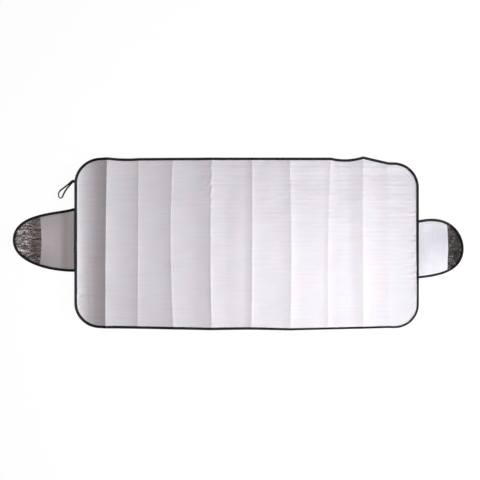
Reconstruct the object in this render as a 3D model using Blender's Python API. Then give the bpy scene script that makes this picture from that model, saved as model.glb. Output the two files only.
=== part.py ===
"""Windscreen frost cover: a laminated foam sheet with a bound edge, two pocketed flaps and an elastic loop.

It lies on the ground, pale face up, as it settles when it has just been unfolded: every fold stands up as a
low ridge and the panels between sag onto the ground. X runs along the width, Y up the height and Z up.
Lengths are in metres.
"""

import math
from collections import namedtuple

import bmesh
import bpy
import numpy as np
from mathutils import Vector

# Main sheet, measured over its binding
SHEET_WIDTH = 1.400
SHEET_HEIGHT = 0.700
CORNER_RADIUS = 0.100
SHEET_THICKNESS = 0.0015

# Binding tape, folded over every cut edge and sewn through
TAPE_THICKNESS = 0.0005
TAPE_REACH = 0.011
CLEARANCE = 0.0003

# Close to its long edges the sheet lies higher by what the tape needs below it: level over this much more
# than the tape's reach, then falling over this length
RIM_SPARE = 0.029
RIM_FALL = 0.040
RIM_FLAT = TAPE_REACH + RIM_SPARE

# Flaps: two layers, sewn under the side edges of the sheet
FLAP_TUCK = 0.010
FLAP_DROP = 0.060
FLAP_STACK = 2 * TAPE_THICKNESS + 3 * CLEARANCE + 2 * SHEET_THICKNESS
# Where a flap lies flat, its back layer settles onto the ground between the tapes, over these lengths
# across the flap and along it
SETTLE_ACROSS = 0.020
SETTLE_ALONG = 0.020
CURL_BEFORE_MOUTH = 0.008
POCKET_RISE = 0.012
POCKET_START_SHARE = 0.2

# The flap's tape keeps its full height this far past the pocket's mouth, then steps down to one layer
RUN_ON = 0.006
STEP_DOWN = 0.009

# The side edges stand high enough for a flap's stack, and this much more
LEFT_EDGE_SPARE = 0.006
RIGHT_EDGE_SPARE = 0.002
TUCK_HEIGHT = FLAP_STACK + 2 * CLEARANCE + TAPE_THICKNESS

# Elastic loop that holds the cover when it is folded away
LOOP_DIAMETER = 0.005
LOOP_POINT_STEP = 0.0075
LOOP_BEVEL_STEPS = 2

# Mesh fineness
CORNER_STEPS = 12
PANEL_STATIONS = (0.12, 0.27, 0.40, 0.60, 0.73, 0.88)
NEAREST_STATIONS = 0.006
ROW_PAST_TAPE = 0.003
FLAP_DROP_STEPS = 6
FLAP_TIP_STEPS = 8
FRONT_ROWS = 9
WIDEST_BACK_ROW = 0.4
SOLVE_STEPS = 40
WELD_DISTANCE = 0.00001
SMOOTH_ANGLE = math.radians(35)

# A fold: the ridge's height at the low and the high edge of the sheet, and how far the edges there
# stand out past their straight lines
Crease = namedtuple("Crease", "low_height high_height low_edge high_edge")
# The stretch between two folds: its share of the width, its sag below the line from ridge to ridge, and
# how far the low and the high edge draw in at its middle
Panel = namedtuple("Panel", "share sag low_dip high_dip")
# A flap's edge: its place at the root, the point that holds its direction, and how far past the tip's
# place it starts to turn
Edge = namedtuple("Edge", "root hold turn")
Flap = namedtuple("Flap", "name side reach tip high low mouth tip_rise")

LEFT_EDGE_HEIGHT = TUCK_HEIGHT + LEFT_EDGE_SPARE
RIGHT_EDGE_HEIGHT = TUCK_HEIGHT + RIGHT_EDGE_SPARE

CREASES = (
    Crease(LEFT_EDGE_HEIGHT, LEFT_EDGE_HEIGHT, -0.008, -0.005),
    Crease(0.0120, 0.0130, -0.005, 0.0005),
    Crease(0.0050, 0.0050, -0.003, -0.002),
    Crease(0.0032, 0.0032, 0.000, -0.001),
    Crease(0.0028, 0.0028, 0.003, 0.000),
    Crease(0.0010, 0.0010, 0.001, 0.000),
    Crease(0.0010, 0.0010, 0.004, 0.000),
    Crease(0.0012, 0.0012, 0.000, 0.000),
    Crease(0.0035, 0.0055, -0.003, 0.005),
    Crease(0.0010, 0.0012, -0.006, -0.019),
    Crease(RIGHT_EDGE_HEIGHT, RIGHT_EDGE_HEIGHT, -0.004, -0.022),
)
PANELS = (
    Panel(134, 0.0125, 0.000, 0.000),
    Panel(130, 0.0034, 0.000, 0.003),
    Panel(134, 0.0022, 0.000, 0.000),
    Panel(154, 0.0027, 0.000, 0.000),
    Panel(162, 0.0023, 0.000, 0.000),
    Panel(163, 0.0012, 0.000, 0.000),
    Panel(167, 0.0013, 0.000, 0.000),
    Panel(130, 0.0032, 0.000, 0.009),
    Panel(102, 0.0009, 0.000, 0.000),
    Panel(124, 0.0010, 0.000, 0.000),
)

LEFT_FLAP = Flap(
    name="left_flap",
    side=-1,
    reach=0.2515,
    tip=0.013,
    high=Edge(root=0.145, hold=(0.066, 0.1235), turn=0.1175),
    low=Edge(root=-0.115, hold=(0.114, -0.116), turn=-0.088),
    mouth=0.1415,
    tip_rise=0.004,
)
RIGHT_FLAP = Flap(
    name="right_flap",
    side=1,
    reach=0.180,
    tip=-0.020,
    high=Edge(root=0.095, hold=(0.143, 0.1267), turn=0.050),
    low=Edge(root=-0.142, hold=(0.090, -0.1335), turn=-0.095),
    mouth=0.1155,
    tip_rise=0.016,
)

# The loop's route: outwards from the left edge, place along Y, and height as a share of the exit's height
LOOP_ROUTE = (
    (CLEARANCE, 0.2556, 1.00),
    (0.0060, 0.2552, 1.00),
    (0.0113, 0.2522, 0.97),
    (0.0168, 0.2474, 0.82),
    (0.0228, 0.2426, 0.54),
    (0.0300, 0.2375, 0.24),
    (0.0375, 0.2319, 0.06),
    (0.0475, 0.2242, 0.00),
    (0.0578, 0.2162, 0.00),
    (0.0640, 0.2078, 0.00),
    (0.0661, 0.1990, 0.00),
    (0.0645, 0.1903, 0.00),
    (0.0583, 0.1849, 0.00),
    (0.0510, 0.1886, 0.00),
    (0.0468, 0.1975, 0.00),
    (0.0424, 0.2068, 0.00),
    (0.0376, 0.2154, 0.02),
    (0.0314, 0.2236, 0.14),
    (0.0246, 0.2312, 0.38),
    (0.0181, 0.2376, 0.68),
    (0.0126, 0.2434, 0.94),
    (0.0066, 0.2488, 1.00),
    (CLEARANCE, 0.2496, 1.00),
)


def between(start, end, share):
    return start + (end - start) * share


def eased(share):
    """0 to 1 with a level start and end, and flat outside."""
    share = min(1.0, max(0.0, share))
    return share * share * (3 - 2 * share)


def crease_places():
    """Where the folds cross X, from the left edge of the sheet to its right edge."""
    total = sum(panel.share for panel in PANELS)
    places = [-SHEET_WIDTH / 2]
    for panel in PANELS:
        places.append(places[-1] + SHEET_WIDTH * panel.share / total)
    return places


FOLDS = crease_places()


def panel_at(x):
    """The number of the panel at x, and the share of its width that lies to the left of x."""
    number = 0
    while number < len(PANELS) - 1 and x > FOLDS[number + 1]:
        number += 1
    share = (x - FOLDS[number]) / (FOLDS[number + 1] - FOLDS[number])
    return number, min(1.0, max(0.0, share))


def hung(start, end, sag, share):
    """A line from start to end that hangs down by sag at its middle."""
    return between(start, end, share) - 4 * sag * share * (1 - share)


def corner_drop(x):
    """How far the rounded corner draws the long edge in at x."""
    into = min(CORNER_RADIUS, max(0.0, abs(x) - (SHEET_WIDTH / 2 - CORNER_RADIUS)))
    return CORNER_RADIUS - math.sqrt(CORNER_RADIUS**2 - into**2)


def column_places():
    """X of every column of the main sheet: close together round the corners, and on every fold."""
    start = SHEET_WIDTH / 2 - CORNER_RADIUS
    angles = [math.pi / 2 * step / CORNER_STEPS for step in range(CORNER_STEPS + 1)]
    turns = [start + CORNER_RADIUS * math.sin(angle) for angle in angles]
    places = set(turns) | {-place for place in turns} | set(FOLDS)
    for left, right in zip(FOLDS, FOLDS[1:]):
        for share in PANEL_STATIONS:
            place = between(left, right, share)
            if abs(place) < start - NEAREST_STATIONS:
                places.add(place)
    return sorted(places)


def long_edges(x):
    """The sheet at x: Y of its low and high edge, and how high the folds hold it off the ground there."""
    number, share = panel_at(x)
    left, right, panel = CREASES[number], CREASES[number + 1], PANELS[number]
    low_out = hung(left.low_edge, right.low_edge, panel.low_dip, share)
    high_out = hung(left.high_edge, right.high_edge, panel.high_dip, share)
    return (
        corner_drop(x) - SHEET_HEIGHT / 2 - low_out,
        SHEET_HEIGHT / 2 + high_out - corner_drop(x),
        max(0.0, hung(left.low_height, right.low_height, panel.sag, share)),
        max(0.0, hung(left.high_height, right.high_height, panel.sag, share)),
    )


COLUMNS = column_places()
LOW_EDGES, HIGH_EDGES, LOW_HEIGHTS, HIGH_HEIGHTS = zip(*(long_edges(x) for x in COLUMNS))


def sheet_under(x, y):
    """Height of the main sheet's lower face, which runs straight from column to column."""
    held_low, held_high = np.interp(x, COLUMNS, LOW_HEIGHTS), np.interp(x, COLUMNS, HIGH_HEIGHTS)
    folds = between(held_low, held_high, y / SHEET_HEIGHT + 0.5)
    inside = SHEET_HEIGHT / 2 - abs(y)
    rim = 1 - eased((inside - RIM_FLAT) / RIM_FALL)
    return folds + (TAPE_THICKNESS + CLEARANCE) * rim


def sheet_over(x, y):
    return sheet_under(x, y) + SHEET_THICKNESS


def sheet_rows(span):
    """Distances of a column's rows from its low end: under the tape, over the rim, and evenly between."""
    near = [0.0, TAPE_REACH + ROW_PAST_TAPE, RIM_FLAT, RIM_FLAT + RIM_FALL / 2, RIM_FLAT + RIM_FALL]
    return near + [span / 2] + [span - distance for distance in reversed(near)]


def front_rows(span):
    """Distances of a flap column's rows from its low end: past the tape on both sides, and evenly between."""
    near = min(TAPE_REACH + ROW_PAST_TAPE, span / 4)
    inner = [between(near, span - near, step / (FRONT_ROWS + 1)) for step in range(FRONT_ROWS + 2)]
    return [0.0] + inner + [span]


def back_rows(span):
    """The same for the back layer: past the tape, where it has settled onto the ground, and the middle."""
    near = min(TAPE_REACH + ROW_PAST_TAPE, span / 4)
    ends = [0.0, near, min(near + SETTLE_ACROSS, span * WIDEST_BACK_ROW)]
    return ends + [span / 2] + [span - distance for distance in reversed(ends)]


def column(low, high, distances):
    """Points from low to high at these distances from low."""
    span = (high - low).length
    return [low.lerp(high, distance / span) if span else low.copy() for distance in distances]


def outward_normals(points, closed):
    """The outward direction in plan at each point of an outline that runs counter-clockwise."""
    normals = []
    for number in range(len(points)):
        if closed:
            before, after = points[number - 1], points[(number + 1) % len(points)]
        else:
            before, after = points[max(0, number - 1)], points[min(len(points) - 1, number + 1)]
        along = (after - before).normalized()
        normals.append(Vector((along.y, -along.x)))
    return normals


def drawn_in(points, normals, distance):
    return [point - normal * distance for point, normal in zip(points, normals)]


def material(name, color, roughness, metallic):
    made = bpy.data.materials.new(name)
    made.use_nodes = True
    shader = made.node_tree.nodes["Principled BSDF"]
    shader.inputs["Base Color"].default_value = (*color, 1.0)
    shader.inputs["Roughness"].default_value = roughness
    shader.inputs["Metallic"].default_value = metallic
    made.diffuse_color = (*color, 1.0)
    return made


def mesh_object(name, mesh_maker, finish):
    mesh = bpy.data.meshes.new(name)
    bmesh.ops.remove_doubles(mesh_maker, verts=mesh_maker.verts, dist=WELD_DISTANCE)
    bmesh.ops.recalc_face_normals(mesh_maker, faces=mesh_maker.faces)
    mesh_maker.to_mesh(mesh)
    mesh_maker.free()
    mesh.materials.append(finish)
    mesh.shade_smooth()
    mesh.set_sharp_from_angle(angle=SMOOTH_ANGLE)
    made = bpy.data.objects.new(name, mesh)
    bpy.context.scene.collection.objects.link(made)
    return made


def grid_solid(name, columns, under, over, finish):
    """A thin solid whose columns of plan points share a lower face and an upper face."""
    maker = bmesh.new()
    low = [[maker.verts.new((p.x, p.y, under(p.x, p.y))) for p in points] for points in columns]
    high = [[maker.verts.new((p.x, p.y, over(p.x, p.y))) for p in points] for points in columns]
    last_column, last_row = len(columns) - 1, len(columns[0]) - 1
    for i in range(last_column):
        for j in range(last_row):
            maker.faces.new((low[i][j], low[i][j + 1], low[i + 1][j + 1], low[i + 1][j]))
            maker.faces.new((high[i][j], high[i + 1][j], high[i + 1][j + 1], high[i][j + 1]))
    for i in (0, last_column):
        for j in range(last_row):
            maker.faces.new((low[i][j], low[i][j + 1], high[i][j + 1], high[i][j]))
    for j in (0, last_row):
        for i in range(last_column):
            maker.faces.new((low[i][j], low[i + 1][j], high[i + 1][j], high[i][j]))
    return mesh_object(name, maker, finish)


def tape_section(point, normal, bottom, top):
    """The folded tape's outline at a point of the edge: a wall over and one under, joined outside."""
    fold, thick, reach = TAPE_THICKNESS, TAPE_THICKNESS, TAPE_REACH
    corners = (
        (fold, bottom, 0.0),
        (reach, bottom, 0.0),
        (reach, bottom, thick),
        (thick, bottom, thick),
        (thick, top, -thick),
        (reach, top, -thick),
        (reach, top, 0.0),
        (fold, top, 0.0),
        (0.0, top, -fold),
        (0.0, bottom, fold),
    )
    ring = []
    for inside, face, lift in corners:
        place = point - normal * inside
        ring.append(Vector((place.x, place.y, face(place.x, place.y) + lift)))
    return ring


def swept_solid(name, rings, closed, finish):
    maker = bmesh.new()
    loops = [[maker.verts.new(point) for point in ring] for ring in rings]
    sides = len(loops[0])
    pairs = list(zip(loops, loops[1:])) + ([(loops[-1], loops[0])] if closed else [])
    for start, end in pairs:
        for side in range(sides):
            after = (side + 1) % sides
            maker.faces.new((start[side], start[after], end[after], end[side]))
    if not closed:
        maker.faces.new(loops[0])
        maker.faces.new(loops[-1])
    return mesh_object(name, maker, finish)


def build_sheet(finishes):
    """The main sheet and the tape round it."""
    low = [Vector(place) for place in zip(COLUMNS, LOW_EDGES)]
    high = [Vector(place) for place in zip(COLUMNS, HIGH_EDGES)]
    side = (high[-1] - low[-1]).length
    right = column(low[-1], high[-1], sheet_rows(side))[1:-1]
    left = column(low[0], high[0], sheet_rows((high[0] - low[0]).length))[1:-1]
    outline = low + right + high[::-1] + left[::-1]
    normals = outward_normals(outline, closed=True)

    cut = drawn_in(outline, normals, TAPE_THICKNESS + CLEARANCE)
    cut_low = cut[: len(low)]
    cut_high = cut[len(low) + len(right) : len(low) + len(right) + len(high)][::-1]
    columns = [column(a, b, sheet_rows((b - a).length)) for a, b in zip(cut_low, cut_high)]
    sheet = grid_solid("main_sheet", columns, sheet_under, sheet_over, finishes["pale_film"])

    def bottom(x, y):
        return sheet_under(x, y) - CLEARANCE - TAPE_THICKNESS

    def top(x, y):
        return sheet_over(x, y) + CLEARANCE + TAPE_THICKNESS

    rings = [tape_section(point, normal, bottom, top) for point, normal in zip(outline, normals)]
    return [sheet, swept_solid("edge_binding", rings, True, finishes["black_tape"])]


def flap_edge_at(flap, edge, out):
    """Y of a flap's edge this far out from the sheet: one Bezier curve from the root to the tip."""
    if out <= 0:
        return edge.root
    points = (
        (0.0, edge.root),
        edge.hold,
        (flap.reach, flap.tip + edge.turn),
        (flap.reach, flap.tip),
    )

    def blend(axis, t):
        a, b, c, d = (point[axis] for point in points)
        return a * (1 - t) ** 3 + 3 * b * t * (1 - t) ** 2 + 3 * c * t * t * (1 - t) + d * t**3

    start, end = 0.0, 1.0
    for _ in range(SOLVE_STEPS):
        middle = (start + end) / 2
        if blend(0, middle) < out:
            start = middle
        else:
            end = middle
    return blend(1, end)


def flap_distances(flap):
    """Distances out from the sheet of a flap's stations, close together at the root and towards the tip."""
    drop = [FLAP_DROP * step / FLAP_DROP_STEPS for step in range(FLAP_DROP_STEPS + 1)]
    flat = [between(FLAP_DROP, flap.mouth - CURL_BEFORE_MOUTH, share) for share in (0.5, 1.0)]
    step = [flap.mouth, flap.mouth + RUN_ON, flap.mouth + RUN_ON + STEP_DOWN]
    left = [1 - part / FLAP_TIP_STEPS for part in range(1, FLAP_TIP_STEPS + 1)]
    tip = [between(flap.reach, step[-1], share**2) for share in left]
    return [-FLAP_TUCK] + drop + flat + step + tip


class FlapShape:
    """Heights of a flap's faces. It follows the sheet's side edge where it is tucked under, then drops."""

    def __init__(self, flap):
        self.flap = flap
        self.edge = flap.side * SHEET_WIDTH / 2
        self.stations = flap_distances(flap)
        self.falls = [1 - eased(out / FLAP_DROP) for out in self.stations]
        curl = flap.mouth - CURL_BEFORE_MOUTH
        self.rises = [
            flap.tip_rise * (max(0.0, out - curl) / (flap.reach - curl)) ** 2 for out in self.stations
        ]
        self.settles = [
            eased((out - FLAP_DROP) / SETTLE_ALONG + 1) * (1 - eased((out - curl) / SETTLE_ALONG))
            for out in self.stations
        ]

    def out(self, x):
        return self.flap.side * x - SHEET_WIDTH / 2

    def ground(self, x, y):
        """The lowest face, which is the tape's where the flap is bound, straight from station to station."""
        out = self.out(x)
        held = sheet_under(self.edge if out > 0 else x, y) - TUCK_HEIGHT
        return held * np.interp(out, self.stations, self.falls) + np.interp(out, self.stations, self.rises)

    def settled(self, x, y):
        """How far the back layer has settled between the tapes, from 0 to 1."""
        out = self.out(x)
        low, high = flap_edge_at(self.flap, self.flap.low, out), flap_edge_at(self.flap, self.flap.high, out)
        inside = min(y - low, high - y) - TAPE_REACH - ROW_PAST_TAPE
        return np.interp(out, self.stations, self.settles) * eased(inside / SETTLE_ACROSS)

    def back_under(self, x, y):
        return self.ground(x, y) + (TAPE_THICKNESS + CLEARANCE) * (1 - self.settled(x, y))

    def back_over(self, x, y):
        return self.back_under(x, y) + SHEET_THICKNESS

    def bound_over(self, x, y):
        """The back layer's upper face as it lies in the tape."""
        return self.ground(x, y) + TAPE_THICKNESS + CLEARANCE + SHEET_THICKNESS

    def pocket_rise(self, x, y):
        """How far the front layer stands off the back one towards the pocket's mouth."""
        start = self.flap.mouth * POCKET_START_SHARE
        along = max(0.0, min(1.0, (self.out(x) - start) / (self.flap.mouth - start)))
        out = min(self.out(x), self.flap.mouth)
        low = flap_edge_at(self.flap, self.flap.low, out) + TAPE_REACH + CLEARANCE
        high = flap_edge_at(self.flap, self.flap.high, out) - TAPE_REACH - CLEARANCE
        across = max(0.0, min(1.0, (y - low) / (high - low)))
        return POCKET_RISE * along**2 * math.sin(math.pi * across) ** 2

    def front_under(self, x, y):
        return self.bound_over(x, y) + CLEARANCE + self.pocket_rise(x, y)

    def front_over(self, x, y):
        return self.front_under(x, y) + SHEET_THICKNESS

    def tape_top(self, x, y):
        """The tape's upper face: over both layers up to the mouth, and over the back layer past it."""
        past = max(0.0, min(1.0, (self.out(x) - self.flap.mouth - RUN_ON) / STEP_DOWN))
        front = (SHEET_THICKNESS + CLEARANCE) * (1 - past)
        return self.bound_over(x, y) + front + CLEARANCE + TAPE_THICKNESS


def build_flap(flap, finishes):
    """A flap's back and front layers, which make a pocket open towards the tip, and the tape round them."""
    shape = FlapShape(flap)
    distances = shape.stations

    def plan(edge, out):
        return Vector((flap.side * (SHEET_WIDTH / 2 + out), flap_edge_at(flap, edge, out)))

    low = [plan(flap.low, out) for out in distances]
    high = [plan(flap.high, out) for out in distances]
    # Counter-clockwise: out along the low edge on the right, and out along the high edge on the left
    first, second = (low, high) if flap.side > 0 else (high, low)
    outline = first + second[-2::-1]
    normals = outward_normals(outline, closed=False)
    # The tape is square to the side edge where the flap bends there
    normals[1], normals[-2] = normals[0], normals[-1]

    cut = drawn_in(outline, normals, TAPE_THICKNESS + CLEARANCE)
    cut_first, cut_second = cut[: len(first)], cut[len(first) - 1 :][::-1]
    cut_low, cut_high = (cut_first, cut_second) if flap.side > 0 else (cut_second, cut_first)

    def columns(count, rows):
        return [column(a, b, rows((b - a).length)) for a, b in list(zip(cut_low, cut_high))[:count]]

    to_mouth = distances.index(flap.mouth) + 1
    made = [
        grid_solid(
            flap.name + "_back",
            columns(len(distances), back_rows),
            shape.back_under,
            shape.back_over,
            finishes["silver_foil"],
        ),
        grid_solid(
            flap.name + "_front",
            columns(to_mouth, front_rows),
            shape.front_under,
            shape.front_over,
            finishes["pale_film"],
        ),
    ]
    rings = [
        tape_section(point, normal, shape.ground, shape.tape_top) for point, normal in zip(outline, normals)
    ]
    made.append(swept_solid(flap.name + "_binding", rings, False, finishes["black_tape"]))
    return made


def smooth_route(points, step):
    """Points a step apart on a Catmull-Rom curve through these points."""
    found = [points[0]]
    for number in range(len(points) - 1):
        before = points[max(0, number - 1)]
        start, end = points[number], points[number + 1]
        after = points[min(len(points) - 1, number + 2)]
        count = max(1, round((end - start).length / step))
        for part in range(1, count + 1):
            t = part / count
            found.append(
                0.5
                * (
                    2 * start
                    + (end - before) * t
                    + (2 * before - 5 * start + 4 * end - after) * t**2
                    + (3 * start - before - 3 * end + after) * t**3
                )
            )
    return found


def build_loop(finishes):
    """One length of elastic cord, both ends caught in the tape at the left edge."""
    radius = LOOP_DIAMETER / 2
    edge = -SHEET_WIDTH / 2
    exit_height = LEFT_EDGE_HEIGHT + SHEET_THICKNESS / 2
    route = [
        Vector((edge - out, along, between(radius, exit_height, share))) for out, along, share in LOOP_ROUTE
    ]
    data = bpy.data.curves.new("elastic_loop", "CURVE")
    data.dimensions = "3D"
    data.bevel_depth = radius
    data.bevel_resolution = LOOP_BEVEL_STEPS
    data.use_fill_caps = True
    points = smooth_route(route, LOOP_POINT_STEP)
    spline = data.splines.new("POLY")
    spline.points.add(len(points) - 1)
    for target, point in zip(spline.points, points):
        target.co = (*point, 1.0)
    data.materials.append(finishes["elastic"])
    made = bpy.data.objects.new("elastic_loop", data)
    bpy.context.scene.collection.objects.link(made)
    return made


def centre_on_ground(pieces, everything):
    """Parents everything to an empty that puts the origin under the middle of these pieces."""
    corners = [vertex.co for piece in pieces for vertex in piece.data.vertices]
    middle = [(min(c[axis] for c in corners) + max(c[axis] for c in corners)) / 2 for axis in (0, 1)]
    base = bpy.data.objects.new("cover", None)
    base.location = (-middle[0], -middle[1], -min(c.z for c in corners))
    bpy.context.scene.collection.objects.link(base)
    for piece in everything:
        piece.parent = base


def main():
    for old in list(bpy.data.objects):
        bpy.data.objects.remove(old)
    finishes = {
        "pale_film": material("pale_film", (0.78, 0.76, 0.81), 0.45, 0.10),
        "silver_foil": material("silver_foil", (0.62, 0.60, 0.60), 0.22, 1.00),
        "black_tape": material("black_tape", (0.018, 0.017, 0.018), 0.80, 0.00),
        "elastic": material("elastic", (0.015, 0.015, 0.016), 0.70, 0.00),
    }
    pieces = build_sheet(finishes)
    for flap in (LEFT_FLAP, RIGHT_FLAP):
        pieces += build_flap(flap, finishes)
    loop = build_loop(finishes)
    centre_on_ground(pieces, [*pieces, loop])


main()
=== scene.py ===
import math
from collections import namedtuple

import bmesh
import bpy
import numpy as np
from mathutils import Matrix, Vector, noise


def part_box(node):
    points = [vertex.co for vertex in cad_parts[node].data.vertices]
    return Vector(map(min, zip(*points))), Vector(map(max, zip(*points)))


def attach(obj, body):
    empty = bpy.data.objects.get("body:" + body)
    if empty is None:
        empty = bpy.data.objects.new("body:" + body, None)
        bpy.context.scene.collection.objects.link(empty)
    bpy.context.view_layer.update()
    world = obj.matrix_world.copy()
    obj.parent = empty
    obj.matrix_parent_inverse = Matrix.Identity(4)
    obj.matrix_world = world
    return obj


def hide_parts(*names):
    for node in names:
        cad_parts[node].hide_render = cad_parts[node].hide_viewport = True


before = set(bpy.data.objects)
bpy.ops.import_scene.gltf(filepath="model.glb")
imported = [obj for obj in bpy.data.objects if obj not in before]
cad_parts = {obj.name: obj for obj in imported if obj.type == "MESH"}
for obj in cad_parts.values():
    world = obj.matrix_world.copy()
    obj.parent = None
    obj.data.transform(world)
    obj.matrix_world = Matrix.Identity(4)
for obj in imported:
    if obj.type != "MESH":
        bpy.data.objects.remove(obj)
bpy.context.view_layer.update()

# The windscreen frost cover as it lies unfolded on a studio floor, seen from straight above.
# All lengths are in metres. The fine meshes follow the solids: the same folds, edges and flaps.

BODY = "root"
UP = (0.0, 0.0, 1.0)

# The main sheet and its tape
SHEET_HEIGHT = 0.700
CORNER_RADIUS = 0.100
SHEET_THICKNESS = 0.0015
TAPE_THICKNESS = 0.0005
TAPE_REACH = 0.011
CLEARANCE = 0.0003
TAPE_OUTSIDE = TAPE_THICKNESS + CLEARANCE
RIM_WINDOW = (0.040, 0.040)
FOLD_ROUNDING = 0.0005

# The flaps
FLAP_TUCK = 0.010
FLAP_DROP = 0.060
ROW_PAST_TAPE = 0.003
SETTLE_ACROSS = 0.020
SETTLE_ALONG = 0.020
FLAP_STACK = 2 * TAPE_THICKNESS + 3 * CLEARANCE + 2 * SHEET_THICKNESS
TUCK_HEIGHT = FLAP_STACK + 2 * CLEARANCE + TAPE_THICKNESS
CURL_BEFORE_MOUTH = 0.008
POCKET_RISE = 0.0070
RUN_ON = 0.006
STEP_DOWN = 0.009
LEFT_EDGE_HEIGHT = TUCK_HEIGHT + 0.006
RIGHT_EDGE_HEIGHT = TUCK_HEIGHT + 0.002

# A crease: its ridge's height at the low and high long edge, how far the edges stand out there, and how far
# it wanders from its straight line at the low edge, halfway and at the high edge. A panel: its share of the
# width, its sag, and how far its high edge dips.
STRAIGHT = (0.0, 0.0, 0.0)
Crease = namedtuple("Crease", "low_height high_height low_edge high_edge wander", defaults=(STRAIGHT,))
Panel = namedtuple("Panel", "share sag high_dip", defaults=(0.0,))
Edge = namedtuple("Edge", "root hold turn")
Flap = namedtuple("Flap", "name side reach tip high low mouth tip_rise mouth_bow taut")

CREASES = (
    Crease(LEFT_EDGE_HEIGHT, LEFT_EDGE_HEIGHT, -0.008, -0.005),
    Crease(0.0120, 0.0130, -0.005, 0.0005, (-0.008, -0.007, -0.001)),
    Crease(0.0050, 0.0050, -0.003, -0.002, (-0.008, -0.006, -0.004)),
    Crease(0.0032, 0.0032, 0.000, -0.001, (0.004, -0.007, 0.001)),
    Crease(0.0028, 0.0028, 0.003, 0.000, (0.006, 0.001, 0.006)),
    Crease(0.0010, 0.0010, 0.001, 0.000, (0.006, 0.009, 0.009)),
    Crease(0.0010, 0.0010, 0.004, 0.000, (0.001, 0.005, -0.002)),
    Crease(0.0005, 0.0006, 0.000, 0.000, (-0.011, -0.012, -0.002)),
    Crease(0.0018, 0.0028, -0.003, 0.005, (0.001, -0.001, 0.000)),
    Crease(0.0028, 0.0036, -0.006, -0.019, (0.002, 0.000, -0.003)),
    Crease(RIGHT_EDGE_HEIGHT, RIGHT_EDGE_HEIGHT, -0.004, -0.022),
)
PANELS = (
    Panel(134, 0.0125),
    Panel(130, 0.0034, 0.003),
    Panel(134, 0.0022),
    Panel(154, 0.0027),
    Panel(162, 0.0023),
    Panel(163, 0.0012),
    Panel(167, 0.0013),
    Panel(130, 0.0018, 0.009),
    Panel(102, 0.0009),
    Panel(124, 0.0010),
)
LEFT_FLAP = Flap(
    name="left_flap",
    side=-1,
    reach=0.2515,
    tip=0.013,
    high=Edge(root=0.145, hold=(0.066, 0.1235), turn=0.1175),
    low=Edge(root=-0.115, hold=(0.114, -0.116), turn=-0.088),
    mouth=0.1415,
    tip_rise=0.004,
    mouth_bow=-0.008,
    taut=0.0,
)
RIGHT_FLAP = Flap(
    name="right_flap",
    side=1,
    reach=0.180,
    tip=-0.020,
    high=Edge(root=0.095, hold=(0.143, 0.1267), turn=0.050),
    low=Edge(root=-0.142, hold=(0.090, -0.1335), turn=-0.095),
    mouth=0.1155,
    tip_rise=0.016,
    mouth_bow=0.002,
    taut=1.0,
)

# The elastic loop's route: out from the left edge, along Y, and height as a share of the exit's height
LOOP_DIAMETER = 0.005
LOOP_ROUTE = (
    (CLEARANCE, 0.2556, 1.00), (0.0060, 0.2552, 1.00), (0.0113, 0.2522, 0.97),
    (0.0168, 0.2474, 0.82), (0.0228, 0.2426, 0.54), (0.0300, 0.2375, 0.24),
    (0.0375, 0.2319, 0.06), (0.0475, 0.2242, 0.00), (0.0578, 0.2162, 0.00),
    (0.0640, 0.2078, 0.00), (0.0661, 0.1990, 0.00), (0.0645, 0.1903, 0.00),
    (0.0583, 0.1849, 0.00), (0.0510, 0.1886, 0.00), (0.0468, 0.1975, 0.00),
    (0.0424, 0.2068, 0.00), (0.0376, 0.2154, 0.02), (0.0314, 0.2236, 0.14),
    (0.0246, 0.2312, 0.38), (0.0181, 0.2376, 0.68), (0.0126, 0.2434, 0.94),
    (0.0066, 0.2488, 1.00), (CLEARANCE, 0.2496, 1.00),
)
LOOP_INTO_TAPE = 0.0015
LOOP_SIDES = 24
LOOP_RING_STEP = 0.0004
BRAID_STRANDS = 8
BRAID_PITCH = 0.0045
BRAID_DEPTH = 0.14
LOOP_FLATTENED = 0.30
LOOP_TURN_SHARE = 0.50
LOOP_TURN_LENGTH = 0.018
LOOP_TURN_NARROWED = 1.5

# Where the sheet lies in the frame
BINDING_LOW, BINDING_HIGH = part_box("edge_binding")
SHEET_WIDTH = BINDING_HIGH.x - BINDING_LOW.x
SHIFT_X = (BINDING_HIGH.x + BINDING_LOW.x) / 2
SHIFT_Y = BINDING_LOW.y + SHEET_HEIGHT / 2 + max(crease.low_edge for crease in CREASES)

# Small forms of the film. Lumps are the noise a form is made of: lengths along X and Y, seed and octaves. A
# window is where a smooth change from 0 to 1 starts, and how long it takes.
Nip = namedtuple("Nip", "height width steady varied lumps shares")
NIPS = (
    Nip(0.00045, 0.0040, 0.75, 0.45, (0.30, 0.045, 3.1, 1),
        (0.0, 0.8, 1.2, 1.0, 1.0, 1.0, 0.8, 0.2, 0.3, 0.0, 0.0)),
    Nip(0.00080, 0.0130, 0.80, 0.50, (0.30, 0.090, 6.6, 1),
        (0.0, 0.1, 0.2, 0.5, 0.8, 0.4, 0.3, 0.0, 0.2, 0.0, 0.0)),
)
NIP_SIDE_FADE = 0.06
SMALL_FORMS_BELOW = 0.35
LUMP_FRACTAL = (0.9, 2.1)
FLAP_SEED = 20.0
FLAP_SEED_STEP = 10.0
SEAM_WINDOW = (TAPE_REACH - 0.003, 0.008)
RIB_PITCH = 0.019
RIB_HEIGHT = 0.00008
RIB_BEND = 0.0015
RIB_LUMPS = (0.4, 0.2, 5.7, 1)
WRINKLE_HEIGHT = 0.0006
WRINKLE_LUMPS = (0.140, 0.060, 8.3, 3)
PUCKER_HEIGHT = 0.0005
PUCKER_FADE = 0.016
PUCKER_LUMPS = (0.011, 0.1, 1.9, 2)
NEARER_SIDE = 1.02
CROSS_HEIGHT = 0.0003
CROSS_FADE = 0.012
CROSS_LUMPS = (0.03, 0.007, 4.4, 2)

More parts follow.
